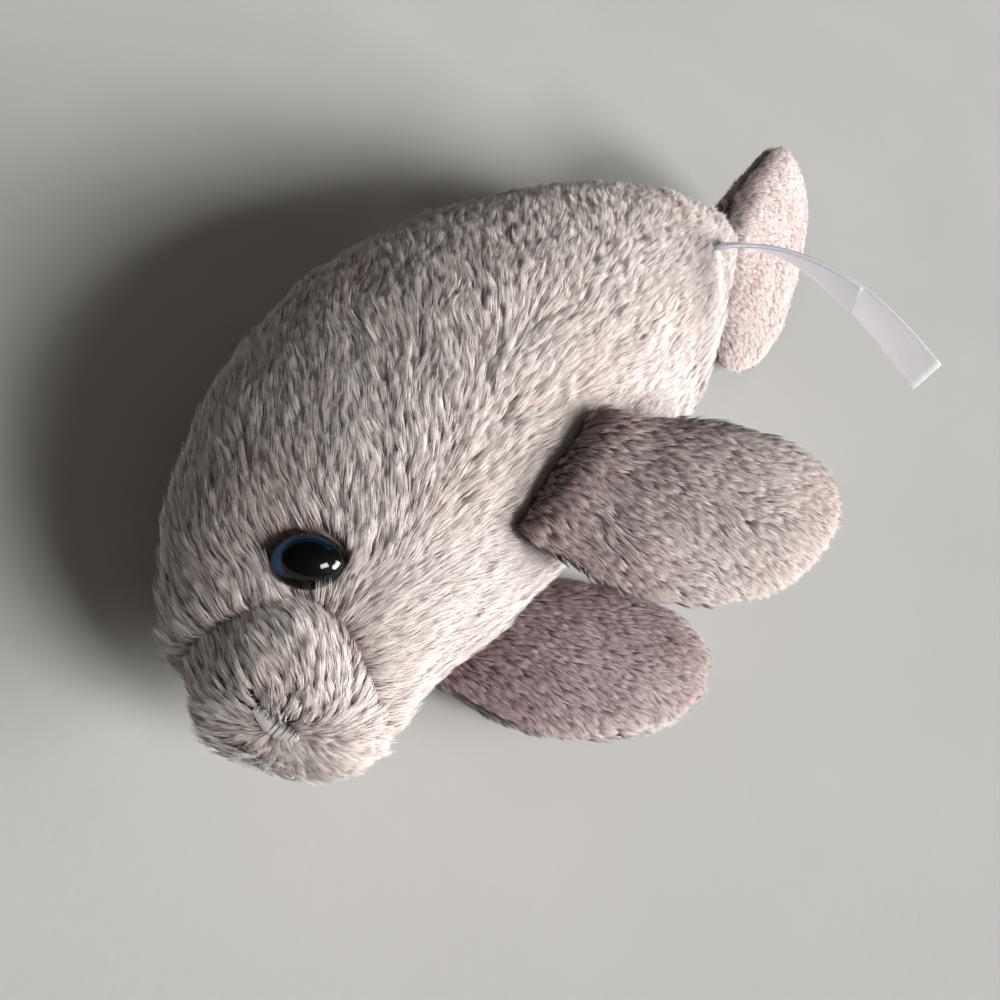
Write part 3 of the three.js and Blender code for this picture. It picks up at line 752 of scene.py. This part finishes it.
dome_height, dome_edge = 3.0, 0.3
iris_radius, iris_rise = 5.1, 1.9
iris_floor, iris_edge = 0.05, 0.15  # heights of its underside and of its edge
for side, (at, axis, long_way) in eyes.items():
    low = min((np.array(v.co) @ axis for v in frame["nodes"][f"{side}_eye_lens"].data.vertices))
    base = at + axis * (low - at @ axis)
    short_way = np.cross(axis, long_way) * eye_half_height / eye_half_length
    turn = Matrix((long_way, short_way, axis)).transposed().to_4x4()
    place = Matrix.Translation(Vector(base)) @ turn
    radius = eye_half_length / MM
    ball = (radius ** 2 + dome_height ** 2) / 2 / dome_height
    arc = [(r, dome_edge + math.sqrt(ball ** 2 - r * r) - ball + dome_height)
           for r in np.linspace(radius, 0, 15)]
    dome = finished(f"{side}_eye_dome", turned_profile([(0, 0), (radius, 0)] + arc), place, dome_clear)
    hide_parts(f"{side}_eye_lens")
    curve = [(iris_radius * s, iris_edge + iris_rise * (1 - s * s)) for s in np.linspace(1, 0, 12)]
    disc = turned_profile([(0, iris_floor), (iris_radius, iris_floor)] + curve)
    iris = finished(f"{side}_eye_iris", disc, place, iris_print_and_light)
    ink_and_light = iris.data.attributes.new("print_and_light", "FLOAT_COLOR", "POINT")
    for vertex, value in zip(iris.data.vertices, ink_and_light.data):
        flat = (place.inverted() @ vertex.co) / radius / MM
        to_back = flat.y if side == "left" else -flat.y
        # Red: distance from the middle. Green: the place for painted light, bright towards the back and
        # painted shade on the opposite side
        value.color = (math.hypot(flat.x, flat.y), 0.5 + (0.82 * to_back - 0.6 * flat.x) / 2, 0, 1)
    for piece in (dome, iris):
        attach(piece, "body")
    frame["nodes"][f"{side}_eye_back"].material_slots[0].material = nylon_black
    frame["nodes"][f"{side}_eye_washer"].material_slots[0].material = nylon_white


# Nostrils: satin stitches laid side by side over a crescent

stitches = 64
thread_radius = 0.13
stitch_lean = (0.2, 0.04)  # mean and spread, along the crescent for its width
stitch_rise, stitch_sink = 0.75, 0.15  # of the middle above the cloth, and of the ends into it


def thread(points, radius, normal):
    """A round thread through points, as rows of six corners."""
    ahead = unit(np.gradient(points, axis=0))
    side = unit(np.cross(ahead, normal))
    up = np.cross(side, ahead)
    rows = [points + side * radius * math.cos(a) + up * radius * math.sin(a)
            for a in np.linspace(0, 2 * math.pi, 7)[:-1]]
    return np.stack(rows, axis=1)


def nostril(side):
    node = f"{side}_nostril"
    mesh = merged_copy(node)
    points = np.array([v.co for v in mesh.verts], float)
    mesh.free()
    middle = points.mean(0)
    _, _, axes = np.linalg.svd(points - middle)
    long, cross, up = axes
    outwards = middle - spine_near(middle[None])[0][0]
    up = up * np.sign(up @ outwards)
    along = (points - middle) @ long
    vertices, faces, values = [], [], []
    for i in range(stitches):
        s = -0.92 + 1.84 * i / (stitches - 1)
        place = s * np.abs(along).max()
        near = np.abs(along - place) < 1.1 * MM
        centre = points[near].mean(0)
        spread = (points[near] - centre) @ cross
        half = max(np.abs(spread).max() * math.sqrt(max(1 - s * s, 0.05)) * 1.4, 0.5 * MM)
        share = np.linspace(-1, 1, 9)[:, None]
        lean = rng.normal(*stitch_lean)
        line = centre + cross * half * share + long * half * lean * share
        line = line + up * (stitch_rise * MM * np.sqrt(np.maximum(1 - share ** 2, 0)) - stitch_sink * MM)
        rows = thread(line, thread_radius * MM, up)
        start = sum(len(v) for v in vertices)
        vertices.append(rows.reshape(-1, 3))
        n = len(line)
        for r in range(n - 1):
            for c in range(6):
                faces.append([start + r * 6 + c, start + r * 6 + (c + 1) % 6,
                              start + (r + 1) * 6 + (c + 1) % 6, start + (r + 1) * 6 + c])
        shades = np.stack([(share[:, 0] + 1) / 2, np.full(n, 0.5), np.full(n, 0.5), np.ones(n)], axis=1)
        values.append(np.repeat(shades, 6, axis=0))
    data = mesh_of(f"{side}_nostril_stitches", np.concatenate(vertices), [np.array(faces)], [0],
                   np.concatenate(values))
    data.materials.append(silver_thread)
    piece = new_piece(f"{side}_nostril_stitches", data)
    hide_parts(node)
    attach(piece, "body")


nostril("left")
nostril("right")


# Label: two leaves of satin ribbon

ribbon_width, ribbon_thickness = 8, 0.22


def ribbon(name, node):
    """A leaf of ribbon over the CAD leaf, finer along its length and with a thin, woven edge."""
    mesh = merged_copy(node)
    points = np.array([v.co for v in mesh.verts], float)
    mesh.free()
    seam = np.array(joints["label_seam"]["pos_m"])
    order = np.argsort(np.linalg.norm(points - seam, axis=1))
    rows = points[order].reshape(-1, 4, 3)
    centre = rows.mean(1)
    axis = np.array(joints["label_seam"]["axis"])
    edge = np.array([away[(away @ axis) > 0].mean(0) for away in rows - centre[:, None]])
    steps = np.linspace(0, len(centre) - 1, 49)
    knots = range(len(centre))
    line = np.stack([np.interp(steps, knots, centre[:, i]) for i in range(3)], axis=1)
    half = np.stack([np.interp(steps, knots, edge[:, i]) for i in range(3)], axis=1)
    across = np.linspace(-1, 1, 9)
    grid = line[:, None] + half[:, None] * across[None, :, None]
    wide = len(across)
    index = np.arange(len(steps) * wide).reshape(-1, wide)
    faces = np.stack([index[:-1, :-1], index[:-1, 1:], index[1:, 1:], index[1:, :-1]], axis=-1).reshape(-1, 4)
    data = mesh_of(name, grid.reshape(-1, 3), [faces], [0])
    layer = data.uv_layers.new(name="ribbon")
    for loop in data.loops:
        row, column = divmod(loop.vertex_index, wide)
        layer.data[loop.index].uv = (column / (wide - 1), row / (len(steps) - 1) * 4)
    data.materials.append(ribbon_satin)
    piece = new_piece(name, data)
    cloth = piece.modifiers.new("thickness", "SOLIDIFY")
    cloth.thickness = ribbon_thickness * MM
    cloth.offset = 0
    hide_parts(node)
    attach(piece, "label")


ribbon("label_long_ribbon", "label_long_leaf")
ribbon("label_short_ribbon", "label_short_leaf")


# Table, light and camera

def table():
    mesh = bmesh.new()
    bmesh.ops.create_grid(mesh, x_segments=4, y_segments=4, size=2.0)
    piece = finished("table", mesh, Matrix.Translation((0, 0, -0.02 * MM)), table_paint)


def window(turn, height, wide, high, power):
    lamp = bpy.data.lights.new("window", "AREA")
    lamp.shape = "RECTANGLE"
    lamp.size, lamp.size_y = wide * MM, high * MM
    lamp.energy = power
    lamp.color = linear("#fffdfb")[:3]
    holder = bpy.data.objects.new("window", lamp)
    direction = Vector((math.cos(math.radians(turn)), math.sin(math.radians(turn)),
                        math.tan(math.radians(height))))
    direction.normalize()
    holder.location = direction * window_distance * MM
    holder.rotation_euler = direction.to_track_quat("Z", "Y").to_euler()
    bpy.context.scene.collection.objects.link(holder)


def sky():
    world = bpy.data.worlds.new("room")
    bpy.context.scene.world = world
    world.use_nodes = True
    tree = world.node_tree
    light = tree.nodes["Background"]
    light.inputs["Color"].default_value = linear("#efe6d8")
    place = add(tree, "ShaderNodeTexCoord")
    beside = add(tree, "ShaderNodeVectorMath", {0: place.outputs["Generated"],
                                                1: Vector(room_side).normalized()}, operation="DOT_PRODUCT")
    dark, bright = room_light
    strength = add(tree, "ShaderNodeMapRange", {"Value": beside.outputs["Value"], "From Min": -0.4,
                                                "From Max": 1.0, "To Min": dark, "To Max": bright})
    tree.links.new(strength.outputs[0], light.inputs["Strength"])


def camera():
    data = bpy.data.cameras.new("camera")
    data.lens = camera_lens
    data.sensor_width = 36
    data.clip_start, data.clip_end = 0.01, 20
    holder = bpy.data.objects.new("camera", data)
    back = Vector(camera_back).normalized()
    right = Vector(camera_right)
    right = (right - back * right.dot(back)).normalized()
    turn = Matrix((right, back.cross(right), back)).transposed().to_4x4()
    holder.matrix_world = Matrix.Translation(Vector(camera_place) * MM) @ turn
    bpy.context.scene.collection.objects.link(holder)
    bpy.context.scene.camera = holder


table()
for place in windows:
    window(*place)
sky()
camera()
bpy.context.scene.view_settings.view_transform = "Standard"
